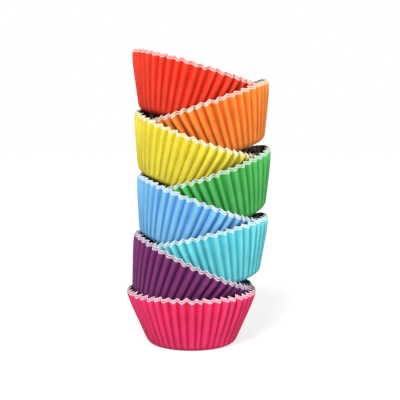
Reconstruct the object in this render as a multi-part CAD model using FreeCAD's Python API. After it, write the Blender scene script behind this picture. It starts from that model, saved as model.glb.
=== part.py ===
import FreeCAD, Part
import os
from math import atan2, cos, degrees, hypot, pi, radians, sin, sqrt
from FreeCAD import Placement, Rotation, Vector

os.makedirs("parts", exist_ok=True)

# Sizes of one cupcake liner in mm and degrees.
# Each liner is pressed from one flat disc, so every pleat line has the same length.
BLANK_RADIUS = 54.0
BASE_RADIUS = 20.0
CORNER_RADIUS = 5.5
WALL = 0.2
PLEATS = 44
RIDGE_LEAN = 24.2
VALLEY_LEAN = 16.8

# A second liner of the same colour stands in the first, drawn in a little by it.
NEST_STEP = 1.2
NEST_SQUEEZE = 0.25

# Each tier sits as low in the one below as it can with this much air between them,
# and its rim centre is at least this much above the one below.
SEAT_GAP = 0.065
LEAST_RISE = 12.0

# Where the centre of each tier's rim is, across and to the back,
# with the tilt to the right and the lean to the back.
TIERS = {
    "pink": (0.0, 0.0, 0.0, 0.0),
    "purple": (1.31, 0.18, 25.2, 1.4),
    "turquoise": (7.28, 0.32, -13.3, 1.6),
    "blue": (4.13, -0.03, 21.0, 0.8),
    "green": (8.71, 0.04, -18.0, -4.2),
    "yellow": (3.15, -0.37, 19.9, -3.6),
    "orange": (7.55, -0.55, -18.8, -0.6),
    "red": (2.91, -1.11, 16.5, 4.2),
}

# How many points are looked at along a fold and along one side of a rim,
# and the step in which a tier is lifted to its seat.
FOLD_SAMPLES = 8
RIM_SAMPLES = 8
LIFT_STEP = 0.05

LINER_SIDES = 2 * PLEATS
SIDE_ANGLE = 360.0 / LINER_SIDES


def pleat_line(lean, base_radius, inset, rim_inset):
    """Points up one pleat line: arc start, arc middle, arc end and rim end, as (radius, height)."""
    turn = radians(90.0 - lean)
    arc_radius = CORNER_RADIUS - inset
    points = []
    for share in (0.0, 0.5, 1.0):
        angle = turn * share
        radius = base_radius + arc_radius * sin(angle)
        height = CORNER_RADIUS - arc_radius * cos(angle)
        points.append((radius, height))
    straight = BLANK_RADIUS - BASE_RADIUS - CORNER_RADIUS * turn
    slope = radians(lean)
    rim_radius = base_radius + CORNER_RADIUS * sin(turn) + straight * sin(slope)
    rim_height = CORNER_RADIUS * (1.0 - cos(turn)) + straight * cos(slope)
    rim_radius -= rim_inset * cos(slope)
    rim_height += rim_inset * sin(slope)
    points.append((rim_radius, rim_height))
    return points


def pleat_steepness(base_radius):
    """Angle in radians between a pleat face and the wall at the rim."""
    ridge = pleat_line(RIDGE_LEAN, base_radius, 0.0, 0.0)[-1]
    valley = pleat_line(VALLEY_LEAN, base_radius, 0.0, 0.0)[-1]
    lean = radians((RIDGE_LEAN + VALLEY_LEAN) / 2.0)
    depth = (ridge[0] - valley[0]) * cos(lean) + (valley[1] - ridge[1]) * sin(lean)
    half_pitch = pi * (ridge[0] + valley[0]) / LINER_SIDES
    return atan2(depth, half_pitch)


def skin(base_radius, inset):
    """Ridge line and valley line of the paper's outside, or of its inside when inset by the wall."""
    rim_inset = inset / cos(pleat_steepness(base_radius))
    return [pleat_line(lean, base_radius, inset, rim_inset) for lean in (RIDGE_LEAN, VALLEY_LEAN)]


def at_angle(line, angle):
    """The points of a pleat line turned to an angle in degrees."""
    turn = radians(angle)
    return [Vector(r * cos(turn), r * sin(turn), z) for r, z in line]


def flat_face(*points):
    return Part.Face(Part.makePolygon([*points, points[0]]))


def wall_faces(lines):
    """Corner strips and folded pleat faces between neighbouring pleat lines."""
    faces = []
    for side, line in enumerate(lines):
        neighbour = lines[(side + 1) % LINER_SIDES]
        ridge, valley = (line, neighbour) if side % 2 == 0 else (neighbour, line)
        low_arcs = [Part.Arc(*points[:3]).toShape() for points in (line, neighbour)]
        faces.append(Part.makeRuledSurface(*low_arcs))
        faces.append(flat_face(ridge[2], valley[2], ridge[3]))
        faces.append(flat_face(valley[2], valley[3], ridge[3]))
    return faces


def liner(base_radius):
    """One foil-lined paper liner, standing on its base centre."""
    skins = []
    for inset in (0.0, WALL):
        folds = skin(base_radius, inset)
        skins.append([at_angle(folds[side % 2], side * SIDE_ANGLE) for side in range(LINER_SIDES)])
    outer, inner = skins
    faces = wall_faces(outer) + wall_faces(inner)
    for lines in skins:
        faces.append(flat_face(*[line[0] for line in lines]))
    for side in range(LINER_SIDES):
        after = (side + 1) % LINER_SIDES
        faces.append(flat_face(outer[side][3], outer[after][3], inner[side][3]))
        faces.append(flat_face(outer[after][3], inner[after][3], inner[side][3]))
    shell = Part.makeShell(faces)
    shell.sewShape()
    solid = Part.makeSolid(shell)
    if solid.Volume < 0.0:
        solid.reverse()
    return solid


def from_ridge(angle):
    """How far an angle is from a ridge, as a share of the way to the valley beside it."""
    turn = (angle / SIDE_ANGLE) % 2.0
    return min(turn, 2.0 - turn)


def line_radius(line, height):
    """Radius of a pleat line at a height."""
    start, _, arc_end, rim = line
    if height > arc_end[1]:
        return arc_end[0] + (rim[0] - arc_end[0]) * (height - arc_end[1]) / (rim[1] - arc_end[1])
    arc_radius = CORNER_RADIUS - start[1]
    return start[0] + sqrt(max(arc_radius ** 2 - (CORNER_RADIUS - height) ** 2, 0.0))


def skin_radius(folds, angle, height):
    """Radius of the pleated paper at an angle and a height."""
    ridge, valley = folds
    share_up = (height - ridge[2][1]) / (ridge[3][1] - ridge[2][1])
    share_up = min(max(share_up, 0.0), 1.0)
    ridge_radius = line_radius(ridge, height)
    past_ridge = from_ridge(angle) - 1.0 + share_up
    if past_ridge <= 0.0:
        return ridge_radius
    return ridge_radius + (line_radius(valley, height) - ridge_radius) * past_ridge / share_up


def rim_height(folds, angle):
    ridge, valley = folds
    return ridge[3][1] + (valley[3][1] - ridge[3][1]) * from_ridge(angle)


def fold_points(folds):
    """Points spread over the ridge and valley lines of a skin."""
    points = []
    for side in range(LINER_SIDES):
        line = at_angle(folds[side % 2], side * SIDE_ANGLE)
        points += line[:3]
        for step in range(1, FOLD_SAMPLES + 1):
            points.append(line[2] + (line[3] - line[2]) * (step / FOLD_SAMPLES))
    return points


def rim_points(folds, lift):
    """Points spread along the zigzag rim of a skin."""
    points = []
    ends = [at_angle(folds[side % 2], side * SIDE_ANGLE)[3] for side in range(LINER_SIDES)]
    for side, end in enumerate(ends):
        after = ends[(side + 1) % LINER_SIDES]
        for step in range(RIM_SAMPLES):
            points.append(end + (after - end) * (step / RIM_SAMPLES) + Vector(0, 0, lift))
    return points


def clears_paper(spot):
    """Whether a point near a tier keeps the seat gap, in the tier or beside it."""
    angle = degrees(atan2(spot.y, spot.x))
    if spot.z >= rim_height(cavity, angle) + NEST_STEP:
        return True
    radius = hypot(spot.x, spot.y)
    above_floor = spot.z - NEST_STEP - WALL
    from_wall = skin_radius(cavity, angle, max(above_floor, 0.0) + WALL) - radius
    beside = radius - skin_radius(outside, angle, max(spot.z, 0.0))
    return max(min(from_wall, above_floor), beside) >= SEAT_GAP


def clears_outside(spot):
    """Whether a point of a rim keeps the seat gap from the outside of the tier above."""
    angle = degrees(atan2(spot.y, spot.x))
    if spot.z <= -SEAT_GAP or spot.z >= rim_height(outside, angle):
        return True
    return hypot(spot.x, spot.y) - skin_radius(outside, angle, max(spot.z, 0.0)) >= SEAT_GAP


def fits(upper, lower):
    """Whether a tier keeps the seat gap from a tier below it."""
    to_lower = lower.inverse() * upper
    to_upper = to_lower.inverse()
    above = all(clears_paper(to_lower.multVec(point)) for point in tier_points)
    return above and all(clears_outside(to_upper.multVec(point)) for point in edge_points)


def seat(tier, height):
    """Placement of a tier with its rim centre at a height."""
    across, back, tilt, lean = TIERS[tier]
    turn = Rotation(Vector(1, 0, 0), -lean) * Rotation(Vector(0, 1, 0), tilt)
    rim_centre = Vector(0, 0, outside[1][3][1])
    return Placement(Vector(across, back, height) - turn.multVec(rim_centre), turn)


def seat_height(tier, tiers_below, height_below):
    """Lowest height at which a tier fits with the tiers below it."""
    height = height_below + LEAST_RISE
    while not all(fits(seat(tier, height), lower) for lower in tiers_below):
        height += LIFT_STEP
    return height


outside = skin(BASE_RADIUS, 0.0)
inner_outside = skin(BASE_RADIUS - NEST_SQUEEZE, 0.0)
cavity = skin(BASE_RADIUS - NEST_SQUEEZE, WALL)
tier_points = fold_points(outside) + rim_points(inner_outside, NEST_STEP)
edge_points = rim_points(outside, 0.0) + rim_points(skin(BASE_RADIUS, WALL), 0.0)
edge_points += rim_points(inner_outside, NEST_STEP) + rim_points(cavity, NEST_STEP)

outer_liner = liner(BASE_RADIUS)
inner_liner = liner(BASE_RADIUS - NEST_SQUEEZE)
inner_liner.translate(Vector(0, 0, NEST_STEP))

height = outside[1][3][1]
places = []
for tier in TIERS:
    if places:
        height = seat_height(tier, places[-2:], height)
    places.append(seat(tier, height))
    for name, shape in (("outer", outer_liner), ("inner", inner_liner)):
        piece = shape.copy()
        piece.Placement = places[-1] * piece.Placement
        piece.exportStep("parts/" + tier + "_liner_" + name + ".step")
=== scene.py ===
import math

import bpy
import numpy as np
from mathutils import Matrix, Vector


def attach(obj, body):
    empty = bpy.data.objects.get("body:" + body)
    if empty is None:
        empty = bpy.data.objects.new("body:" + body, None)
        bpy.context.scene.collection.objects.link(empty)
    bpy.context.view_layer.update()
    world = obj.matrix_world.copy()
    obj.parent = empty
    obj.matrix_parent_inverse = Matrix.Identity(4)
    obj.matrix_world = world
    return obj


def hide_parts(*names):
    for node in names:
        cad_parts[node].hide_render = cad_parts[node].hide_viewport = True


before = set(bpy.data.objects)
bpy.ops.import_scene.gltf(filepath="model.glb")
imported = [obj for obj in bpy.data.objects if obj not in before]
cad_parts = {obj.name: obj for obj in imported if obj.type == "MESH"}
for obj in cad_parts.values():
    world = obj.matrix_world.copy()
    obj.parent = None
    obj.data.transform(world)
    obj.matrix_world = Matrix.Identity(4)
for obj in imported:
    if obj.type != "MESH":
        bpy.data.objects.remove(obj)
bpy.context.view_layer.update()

# Sizes of one cupcake liner in metres and degrees, as in the part's source.
BLANK_RADIUS = 0.054
BASE_RADIUS = 0.020
CORNER_RADIUS = 0.0055
WALL = 0.0002
PLEATS = 44
RIDGE_LEAN = 24.2
VALLEY_LEAN = 16.8
NEST_STEP = 0.0012
NEST_SQUEEZE = 0.00025

# How far paper rounds off a ridge and a valley, as a share of the way between them,
# and how many points of the sharp fold are averaged for it.
RIDGE_ROUND = 0.34
VALLEY_ROUND = 0.10
ROUND_TAPS = 9

# Depth in metres that each valley of an outer liner keeps down to the base,
# and the depth of the shading over it.
CREASE = 0.00036
RELIEF = 0.0008

# Unevenness of the pleats: spacing as a share of a pleat, then in metres how far
# folds are flattened, the whole liner is out of round and the rim goes up and down.
# The last of these fades away below the rim by a power of the height.
SPACING_JITTER = 0.065
FOLD_FLATTEN = 0.00022
BULGE = 0.0001
BULGE_WAVES = (2, 3, 5)
RIM_WANDER = 0.00015
WANDER_POWER = 4

# Grid of a liner: columns to a pleat, and rows over the base, the corner and the wall.
PLEAT_COLUMNS = 12
BASE_ROWS = 3
CORNER_ROWS = 5
WALL_ROWS = 13

# How far the pale cut margin reaches down the print of the outer and of the inner liner,
# and the range, in margins, over which it turns into print.
OUTER_MARGIN = 0.0007
INNER_MARGIN = 0.0008
MARGIN_FADE = (0.8, 1.2)

# Printed colour of each tier's paper, as red, green and blue on a screen.
PRINTS = {
    "pink": (0.97, 0.24, 0.47),
    "purple": (0.50, 0.20, 0.45),
    "turquoise": (0.46, 0.87, 0.91),
    "blue": (0.52, 0.79, 0.97),
    "green": (0.35, 0.77, 0.41),
    "yellow": (1.00, 0.94, 0.32),
    "orange": (1.00, 0.59, 0.23),
    "red": (0.98, 0.28, 0.17),
}

# Painted shade: power and share of brightness that turn a printed colour into its darker valley
# tone.
PAINTED_SHADE_POWER = 1.7
PAINTED_SHADE_LEVEL = 0.80

# Level and share of the printed colour in the pale margin and in the cut edge.
MARGIN_PALE = (0.70, 0.24)
CUT_PALE = (0.9, 0.1)

# Roughness and gloss of the paper, and the tint of the foil.
PAPER_ROUGHNESS = 0.72
PAPER_SPECULAR = 0.3
CUT_ROUGHNESS = 0.85
FOIL_TINT = (1.0, 1.0, 1.03, 1.0)

# Noise patterns: scale, detail, and the values that the low and the high end stand for.
PAPER_MOTTLE = (140.0, 4.0, 0.90, 1.06)
PAPER_FIBRE = (2600.0, 2.0, 0.95, 1.05)
MARGIN_FRAY = (900.0, 2.0, -0.25, 0.25)
# The foil tone is far below real silver: painted shade and dark reflection for the cups'
# insides.
FOIL_TONE_WITH_PAINTED_SHADE = (300.0, 3.0, 0.26, 0.38)
FOIL_ROUGHNESS = (700.0, 2.0, 0.22, 0.36)
CUT_TONE = (2000.0, 2.0, 0.86, 1.0)
NOISE_LOW = 0.3
NOISE_HIGH = 0.7

# Fine grain: scale, detail, strength and depth in metres.
PAPER_GRAIN = (1800.0, 4.0, 0.25, 0.00006)
FOIL_CRINKLE = (1200.0, 3.0, 0.20, 0.00005)

# Floor and world: half the floor's width, the grey and the light level that reach
# the object, and the glow that makes them white where they are seen.
FLOOR_HALF = 1.5
FLOOR_GREY = 0.30
FLOOR_GLOW = 0.76
WORLD_LIGHT = 0.30
WORLD_GLOW = 0.70

# Suns: compass direction (0 at the front, positive to the right), elevation,
# strength and apparent width, in degrees.
SUNS = {
    "key": (-14.0, 44.0, 3.3, 16.0),
    "fill": (42.0, 12.0, 1.1, 25.0),
    "top": (10.0, 75.0, 0.4, 40.0),
}

# Camera: the point it looks at and its distance in metres, its elevation in degrees,
# and its lens and sensor in millimetres.
TARGET = Vector((0.0046, 0.0, 0.0788))
CAMERA_DISTANCE = 0.590
CAMERA_ELEVATION = 6.4
CAMERA_LENS = 97.4
CAMERA_SENSOR = 36.0
CAMERA_NEAR = 0.01

FOLDS = 2 * PLEATS
SIDE_ANGLE = math.pi / PLEATS
COLUMNS = PLEATS * PLEAT_COLUMNS

# Material slots of a liner.
PRINT_SLOT = 0
FOIL_SLOT = 1
CUT_SLOT = 2


# ---- The pleated paper ----


def pleat_lines(base_radius, inset, rim_inset):
    """Arc turn, low end and rim end of the ridge and of the valley, as (radius, height)."""
    lines = []
    for lean in (RIDGE_LEAN, VALLEY_LEAN):
        turn = math.radians(90.0 - lean)
        slope = math.radians(lean)
        arc = CORNER_RADIUS - inset
        low = (base_radius + arc * math.sin(turn), CORNER_RADIUS - arc * math.cos(turn))
        straight = BLANK_RADIUS - BASE_RADIUS - CORNER_RADIUS * turn
        radius = base_radius + CORNER_RADIUS * math.sin(turn) + straight * math.sin(slope)
        height = CORNER_RADIUS * (1.0 - math.cos(turn)) + straight * math.cos(slope)
        rim = (radius - rim_inset * math.cos(slope), height + rim_inset * math.sin(slope))
        lines.append((turn, np.array(low), np.array(rim)))
    return lines


def pleat_steepness():
    """Angle between a pleat face and the wall at the rim."""
    (_, _, ridge), (_, _, valley) = pleat_lines(BASE_RADIUS, 0.0, 0.0)
    lean = math.radians((RIDGE_LEAN + VALLEY_LEAN) / 2.0)
    depth = (ridge[0] - valley[0]) * math.cos(lean) + (valley[1] - ridge[1]) * math.sin(lean)
    return math.atan2(depth, SIDE_ANGLE * (ridge[0] + valley[0]) / 2.0)


def fold_share():
    """How far each column is from its ridge (0) to its valley (1)."""
    return np.abs((np.arange(COLUMNS) / PLEAT_COLUMNS + 0.5) % 1.0 - 0.5) * 2.0


def section(lines, to_valley, share):
    """Radius and height of the folded wall at a share of its height."""
    (_, ridge_low, ridge_rim), (_, valley_low, valley_rim) = lines
    near_ridge = np.minimum(to_valley, 1.0 - share)[:, None]
    near_valley = np.maximum(to_valley - 1.0 + share, 0.0)[:, None]
    ridge = ridge_low + (ridge_rim - ridge_low) * share
    return ridge + (valley_low - ridge_low) * near_ridge + (valley_rim - ridge_rim) * near_valley


def rounded_section(lines, to_valley, share):
    """The same section with its folds rounded off."""
    total = 0.0
    width = RIDGE_ROUND + (VALLEY_ROUND - RIDGE_ROUND) * to_valley
    for tap in np.linspace(-1.0, 1.0, ROUND_TAPS):
        place = np.abs(to_valley + tap * width)
        place = np.where(place > 1.0, 2.0 - place, place)
        total = total + section(lines, place, share)
    return total / ROUND_TAPS


def unevenness(seed):
    """Angle of each column round the liner, and how far it strays out and up at the rim."""
    rng = np.random.default_rng(seed)
    place = np.arange(FOLDS) + rng.normal(0.0, SPACING_JITTER * 2.0, FOLDS)
    stray = np.abs(rng.normal(0.0, FOLD_FLATTEN, FOLDS))
    stray[0::2] *= -1.0
    angle = np.arange(FOLDS) * SIDE_ANGLE
    for waves in BULGE_WAVES:
        stray += BULGE * rng.normal() * np.cos(waves * angle + rng.uniform(0.0, 2.0 * math.pi))
    wander = rng.normal(0.0, RIM_WANDER, FOLDS)
    step = np.arange(COLUMNS) * 2.0 / PLEAT_COLUMNS
    low = np.floor(step).astype(int)
    part = step - low
    high = (low + 1) % FOLDS
    full_turn = np.where(low + 1 == FOLDS, FOLDS, 0.0)
    angles = (place[low] * (1.0 - part) + (place[high] + full_turn) * part) * SIDE_ANGLE
    outward = stray[low] * (1.0 - part) + stray[high] * part
    upward = wander[low] * (1.0 - part) + wander[high] * part
    return angles, outward, upward


def skin_rows(base_radius, inset, crease, uneven):
    """Rows of points from the middle of the base to the rim.

    With them come each point's way to the rim along the paper, and its relief.
    """
    lines = pleat_lines(base_radius, inset, inset / math.cos(pleat_steepness()))
    ridge_turn, valley_turn = lines[0][0], lines[1][0]
    angles, outward, upward = uneven
    fold = fold_share()
    near_valley = fold ** 2
    straight = BLANK_RADIUS - BASE_RADIUS - CORNER_RADIUS * ridge_turn
    across = np.stack((np.cos(angles), np.sin(angles)), axis=1)
    rows = []
    to_rim = []
    relief = []

    def add(profile, distance, turn, depth):
        """Adds a row, pressed in along the paper's normal at each valley."""
        pressed = crease * depth * near_valley
        radius = profile[:, :1] - (pressed * np.sin(turn))[:, None]
        height = profile[:, 1] + pressed * np.cos(turn)
        rows.append(np.column_stack((across * radius, height)))
        to_rim.append(np.full(COLUMNS, distance))
        relief.append(-RELIEF * depth * near_valley)

    for row in range(1, BASE_ROWS + 1):
        radius = base_radius * row / BASE_ROWS
        add(np.tile((radius, inset), (COLUMNS, 1)), BLANK_RADIUS - radius, 0.0, 0.0)
    arc = CORNER_RADIUS - inset
    for row in range(1, CORNER_ROWS + 1):
        turn = (ridge_turn + (valley_turn - ridge_turn) * fold) * row / CORNER_ROWS
        radius = base_radius + arc * np.sin(turn)
        profile = np.column_stack((radius, CORNER_RADIUS - arc * np.cos(turn)))
        add(profile, straight, turn, row / CORNER_ROWS)
    for row in range(1, WALL_ROWS + 1):
        share = row / WALL_ROWS
        profile = rounded_section(lines, fold, share)
        profile[:, 0] += outward * share
        profile[:, 1] += upward * share ** WANDER_POWER
        add(profile, straight * (1.0 - share), valley_turn, 1.0 - share)
    return np.array(rows), np.array(to_rim), np.array(relief)


def ring_faces(low, high):
    """Faces between two rows of points, given by their first points."""
    column = np.arange(COLUMNS)
    after = (column + 1) % COLUMNS
    corners = (low + column, low + after, high + after, high + column)
    return np.column_stack(corners).tolist()


def set_values(mesh, name, parts):
    """Stores one number for each point of a mesh."""
    values = np.concatenate(parts).astype(np.float32)
    mesh.attributes.new(name, "FLOAT", "POINT").data.foreach_set("value", values)


def sharpen_rims(mesh, rims):
    """Marks the edges along the rims, given by their first points, as sharp."""
    ends = np.empty(2 * len(mesh.edges), np.int32)
    mesh.edges.foreach_get("vertices", ends)
    ends = ends.reshape(-1, 2)
    sharp = np.zeros(len(ends), bool)
    for rim in rims:
        sharp |= ((ends >= rim) & (ends < rim + COLUMNS)).all(axis=1)
    mesh.attributes.new("sharp_edge", "BOOLEAN", "EDGE").data.foreach_set("value", sharp)


def liner_mesh(name, base_radius, margin, crease, seed):
    """Mesh of one liner on its base centre: outside, foil inside and cut edge."""
    uneven = unevenness(seed)
    outer, to_rim, relief = skin_rows(base_radius, 0.0, crease, uneven)
    inner = skin_rows(base_radius, WALL, crease, uneven)[0]
    middles = [(0.0, 0.0, 0.0), (0.0, 0.0, WALL)]
    points = np.concatenate((outer.reshape(-1, 3), inner.reshape(-1, 3), middles))
    inside = len(outer) * COLUMNS
    outer_rim = inside - COLUMNS
    inner_rim = inside + outer_rim
    middle = 2 * inside
    pairs = [(column, (column + 1) % COLUMNS) for column in range(COLUMNS)]
    faces = []
    slots = []

    def add(slot, new_faces):
        faces.extend(new_faces)
        slots.extend([slot] * len(new_faces))

    for low in range(0, outer_rim, COLUMNS):
        add(PRINT_SLOT, ring_faces(low, low + COLUMNS))
    for low in range(inside, inner_rim, COLUMNS):
        add(FOIL_SLOT, ring_faces(low + COLUMNS, low))
    add(CUT_SLOT, ring_faces(outer_rim, inner_rim))
    add(PRINT_SLOT, [(middle, b, a) for a, b in pairs])
    add(FOIL_SLOT, [(middle + 1, inside + a, inside + b) for a, b in pairs])
    mesh = bpy.data.meshes.new(name)
    mesh.from_pydata(points.tolist(), [], faces)
    mesh.polygons.foreach_set("material_index", np.array(slots, np.int32))
    mesh.polygons.foreach_set("use_smooth", np.ones(len(faces), bool))
    margins = to_rim.ravel() / margin
    base_margins = BLANK_RADIUS / margin
    # valley: mask for painted shade, 0 at a ridge to 1 in a valley of the outer print, none on
    # the foil.
    near_valley = np.tile(fold_share() ** 2, len(outer))
    set_values(mesh, "margins_down", (margins, margins, [base_margins, base_margins]))
    set_values(mesh, "valley", (near_valley, np.zeros(inside), [0.0, 0.0]))
    set_values(mesh, "relief", (relief.ravel(), -relief.ravel(), [0.0, 0.0]))
    sharpen_rims(mesh, (outer_rim, inner_rim))
    mesh.update()
    return mesh


def tier_place(node):
    """Base centre and turn of a CAD liner, worked out from its mesh.

    The liner's axis is the direction in which its surface spreads least.
    """
    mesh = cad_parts[node].data
    mesh.calc_loop_triangles()
    points = np.array([v.co for v in mesh.vertices])
    a, b, c = np.moveaxis(points[np.array([t.vertices for t in mesh.loop_triangles])], 1, 0)
    areas = np.linalg.norm(np.cross(b - a, c - a), axis=1)
    centres = np.stack((a, b, c), axis=1).mean(axis=1)
    middle = np.average(centres, axis=0, weights=areas)
    _, axes = np.linalg.eigh(np.cov(centres.T, aweights=areas))
    axis = axes[:, 0] * np.sign(axes[2, 0])
    base = middle + axis * ((points - middle) @ axis).min()
    tilt = math.asin(axis[0])
    lean = math.atan2(axis[1], axis[2])
    turn = Matrix.Rotation(-lean, 4, "X") @ Matrix.Rotation(tilt, 4, "Y")
    return Matrix.Translation(Vector(base)) @ turn


# ---- Materials ----


def linear(colour):
    """Scene-linear value of a screen colour."""
    return tuple(((c + 0.055) / 1.055) ** 2.4 for c in colour) + (1.0,)


def painted_valley_shade(colour):
    """Painted shade: the darker tone that a scene-linear print colour is given in a valley."""
    return tuple(PAINTED_SHADE_LEVEL * channel ** PAINTED_SHADE_POWER for channel in colour[:3]) + (1.0,)


def paler(colour, level, share):
    """Scene-linear value of a pale screen colour with a share of a stronger one."""
    return linear(level + share * c for c in colour)


class Nodes:
    """Small helper that adds nodes to one material and links them."""

    def __init__(self, name):
        self.material = bpy.data.materials.new(name)
        self.material.use_nodes = True
        self.tree = self.material.node_tree
        self.shader = self.tree.nodes["Principled BSDF"]

    def add(self, kind, inputs=None, **settings):
        node = self.tree.nodes.new("ShaderNode" + kind)
        for key, value in settings.items():
            setattr(node, key, value)
        for key, value in (inputs or {}).items():
            self.set(node, key, value)
        return node

    def set(self, node, key, value):
        if isinstance(value, bpy.types.NodeSocket):
            self.tree.links.new(value, node.inputs[key])
        else:
            node.inputs[key].default_value = value

    def attribute(self, name):
        return self.add("Attribute", attribute_name=name).outputs["Fac"]

    def noise(self, scale, detail):
        place = self.add("TexCoord").outputs["Object"]
        settings = {"Vector": place, "Scale": scale, "Detail": detail}
        return self.add("TexNoise", settings).outputs["Fac"]

    def pattern(self, scale, detail, low, high):
        """Noise mapped to a range."""
        settings = {
            "Value": self.noise(scale, detail),
            "From Min": NOISE_LOW,
            "From Max": NOISE_HIGH,
            "To Min": low,
            "To Max": high,
        }
        return self.add("MapRange", settings).outputs["Result"]

    def maths(self, operation, first, second):
        return self.add("Math", {0: first, 1: second}, operation=operation).outputs[0]

    def mix(self, share, first, second, blend="MIX"):
        inputs = {0: share, 6: first, 7: second}
        return self.add("Mix", inputs, data_type="RGBA", blend_type=blend).outputs[2]

    def bump(self, scale, detail, strength, distance):
        """Relief of the pleats with a fine grain over it."""
        inputs = {"Height": self.attribute("relief"), "Strength": 1.0, "Distance": 1.0}
        folded = self.add("Bump", inputs).outputs["Normal"]
        inputs = {
            "Height": self.noise(scale, detail),
            "Strength": strength,
            "Distance": distance,
            "Normal": folded,
        }
        self.set(self.shader, "Normal", self.add("Bump", inputs).outputs["Normal"])


def paper_material(tier, colour):
    """Printed matte paper with painted shade darkening the valleys, pale at the cut edge."""
    nodes = Nodes(tier + "_paper")
    full = linear(colour)
    shade = nodes.maths("MULTIPLY", nodes.pattern(*PAPER_MOTTLE), nodes.pattern(*PAPER_FIBRE))
    # Painted shade: the print is darkened towards each valley by the valley attribute.
    folded = nodes.mix(nodes.attribute("valley"), full, painted_valley_shade(full))
    print_with_painted_shade = nodes.mix(1.0, folded, shade, "MULTIPLY")
    frayed = nodes.maths("ADD", nodes.attribute("margins_down"), nodes.pattern(*MARGIN_FRAY))
    fade_start, fade_end = MARGIN_FADE
    fade = nodes.add("MapRange", {"Value": frayed, "From Min": fade_start, "From Max": fade_end})
    margin_colour = paler(colour, *MARGIN_PALE)
    base_colour = nodes.mix(fade.outputs["Result"], margin_colour, print_with_painted_shade)
    nodes.set(nodes.shader, "Base Color", base_colour)
    nodes.set(nodes.shader, "Roughness", PAPER_ROUGHNESS)
    nodes.set(nodes.shader, "Specular IOR Level", PAPER_SPECULAR)
    nodes.bump(*PAPER_GRAIN)
    return nodes.material


def foil_material(tier):
    """Metal foil with a fine crinkle, darkened below real silver as painted shade and dark
    reflection.
    """
    nodes = Nodes(tier + "_foil")
    # Painted shade: the foil's base colour is held dark to stand for the shade and dark
    # reflections inside the cups.
    base_colour = nodes.mix(1.0, FOIL_TINT, nodes.pattern(*FOIL_TONE_WITH_PAINTED_SHADE), "MULTIPLY")
    nodes.set(nodes.shader, "Base Color", base_colour)
    nodes.set(nodes.shader, "Metallic", 1.0)
    nodes.set(nodes.shader, "Roughness", nodes.pattern(*FOIL_ROUGHNESS))
    nodes.bump(*FOIL_CRINKLE)
    return nodes.material


def cut_material(tier, colour):
    """Pale cut edge of the paper."""
    nodes = Nodes(tier + "_cut_edge")
    pale = paler(colour, *CUT_PALE)
    base_colour = nodes.mix(1.0, pale, nodes.pattern(*CUT_TONE), "MULTIPLY")
    nodes.set(nodes.shader, "Base Color", base_colour)
    nodes.set(nodes.shader, "Roughness", CUT_ROUGHNESS)
    return nodes.material


# ---- The stack ----

LAYERS = (
    ("outer", BASE_RADIUS, 0.0, OUTER_MARGIN, CREASE),
    ("inner", BASE_RADIUS - NEST_SQUEEZE, NEST_STEP, INNER_MARGIN, 0.0),
)

for seed, (tier, colour) in enumerate(PRINTS.items()):
    materials = (paper_material(tier, colour), foil_material(tier), cut_material(tier, colour))
    place = tier_place(tier + "_liner_outer")
    for layer, base_radius, lift, margin, crease in LAYERS:
        name = tier + "_cup_" + layer
        mesh = liner_mesh(name, base_radius, margin, crease, seed)
        for material in materials:
            mesh.materials.append(material)
        piece = bpy.data.objects.new(name, mesh)
        piece.matrix_world = place @ Matrix.Translation((0.0, 0.0, lift))
        bpy.context.scene.collection.objects.link(piece)
        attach(piece, "root")
        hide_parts(tier + "_liner_" + layer)


# ---- Floor, light and camera ----


def white_where_seen(tree, shader, glow, output):
    """Adds plain white, where the camera or a reflection sees it, to a surface."""
    nodes = tree.nodes

    def maths(operation, first, second):
        node = nodes.new("ShaderNodeMath")
        node.operation = operation
        tree.links.new(first, node.inputs[0])
        if isinstance(second, float):
            node.inputs[1].default_value = second
        else:
            tree.links.new(second, node.inputs[1])
        return node.outputs[0]

    path = nodes.new("ShaderNodeLightPath").outputs
    mirrored = maths("MAXIMUM", path["Is Glossy Ray"], path["Is Transmission Ray"])
    seen = maths("MAXIMUM", path["Is Camera Ray"], mirrored)
    white = nodes.new("ShaderNodeEmission")
    tree.links.new(maths("MULTIPLY", seen, glow), white.inputs["Strength"])
    total = nodes.new("ShaderNodeAddShader")
    tree.links.new(shader.outputs[0], total.inputs[0])
    tree.links.new(white.outputs[0], total.inputs[1])
    tree.links.new(total.outputs[0], nodes[output].inputs["Surface"])


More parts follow.
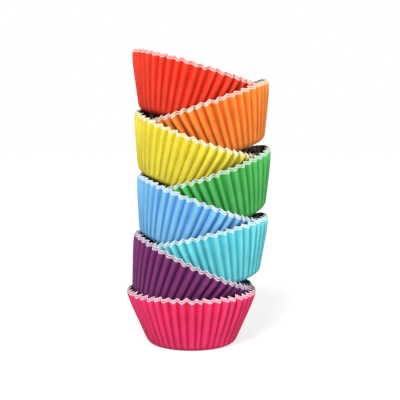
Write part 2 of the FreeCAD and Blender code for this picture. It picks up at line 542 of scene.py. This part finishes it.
def soft_light(name, azimuth, elevation, strength, width):
    """A broad even light that is equally strong everywhere."""
    data = bpy.data.lights.new(name, "SUN")
    data.energy = strength
    data.angle = math.radians(width)
    light = bpy.data.objects.new(name, data)
    across, up = math.radians(azimuth), math.radians(elevation)
    level = Vector((math.sin(across), -math.cos(across), 0.0)) * math.cos(up)
    to_light = level + Vector((0.0, 0.0, math.sin(up)))
    light.rotation_euler = to_light.to_track_quat("Z", "Y").to_euler()
    bpy.context.scene.collection.objects.link(light)


sides = ((-1, -1), (1, -1), (1, 1), (-1, 1))
floor_mesh = bpy.data.meshes.new("floor")
floor_mesh.from_pydata([(x * FLOOR_HALF, y * FLOOR_HALF, 0.0) for x, y in sides], [], [range(4)])
floor = bpy.data.objects.new("floor", floor_mesh)
bpy.context.scene.collection.objects.link(floor)
floor_material = bpy.data.materials.new("floor")
floor_material.use_nodes = True
floor_shader = floor_material.node_tree.nodes["Principled BSDF"]
floor_shader.inputs["Base Color"].default_value = (FLOOR_GREY, FLOOR_GREY, FLOOR_GREY, 1.0)
floor_shader.inputs["Roughness"].default_value = 1.0
floor_shader.inputs["Specular IOR Level"].default_value = 0.0
white_where_seen(floor_material.node_tree, floor_shader, FLOOR_GLOW, "Material Output")
floor_mesh.materials.append(floor_material)

world = bpy.data.worlds.new("world")
bpy.context.scene.world = world
world.use_nodes = True
background = world.node_tree.nodes["Background"]
background.inputs["Color"].default_value = (1.0, 1.0, 1.0, 1.0)
background.inputs["Strength"].default_value = WORLD_LIGHT
white_where_seen(world.node_tree, background, WORLD_GLOW, "World Output")

for name, settings in SUNS.items():
    soft_light(name, *settings)

camera_data = bpy.data.cameras.new("camera")
camera_data.sensor_width = CAMERA_SENSOR
camera_data.lens = CAMERA_LENS
camera_data.clip_start = CAMERA_NEAR
camera = bpy.data.objects.new("camera", camera_data)
rise = math.radians(CAMERA_ELEVATION)
back = Vector((0.0, -math.cos(rise), math.sin(rise)))
camera.location = TARGET + back * CAMERA_DISTANCE
camera.rotation_euler = (-back).to_track_quat("-Z", "Y").to_euler()
bpy.context.scene.collection.objects.link(camera)
bpy.context.scene.camera = camera
bpy.context.scene.view_settings.view_transform = "Standard"

bpy.context.view_layer.update()
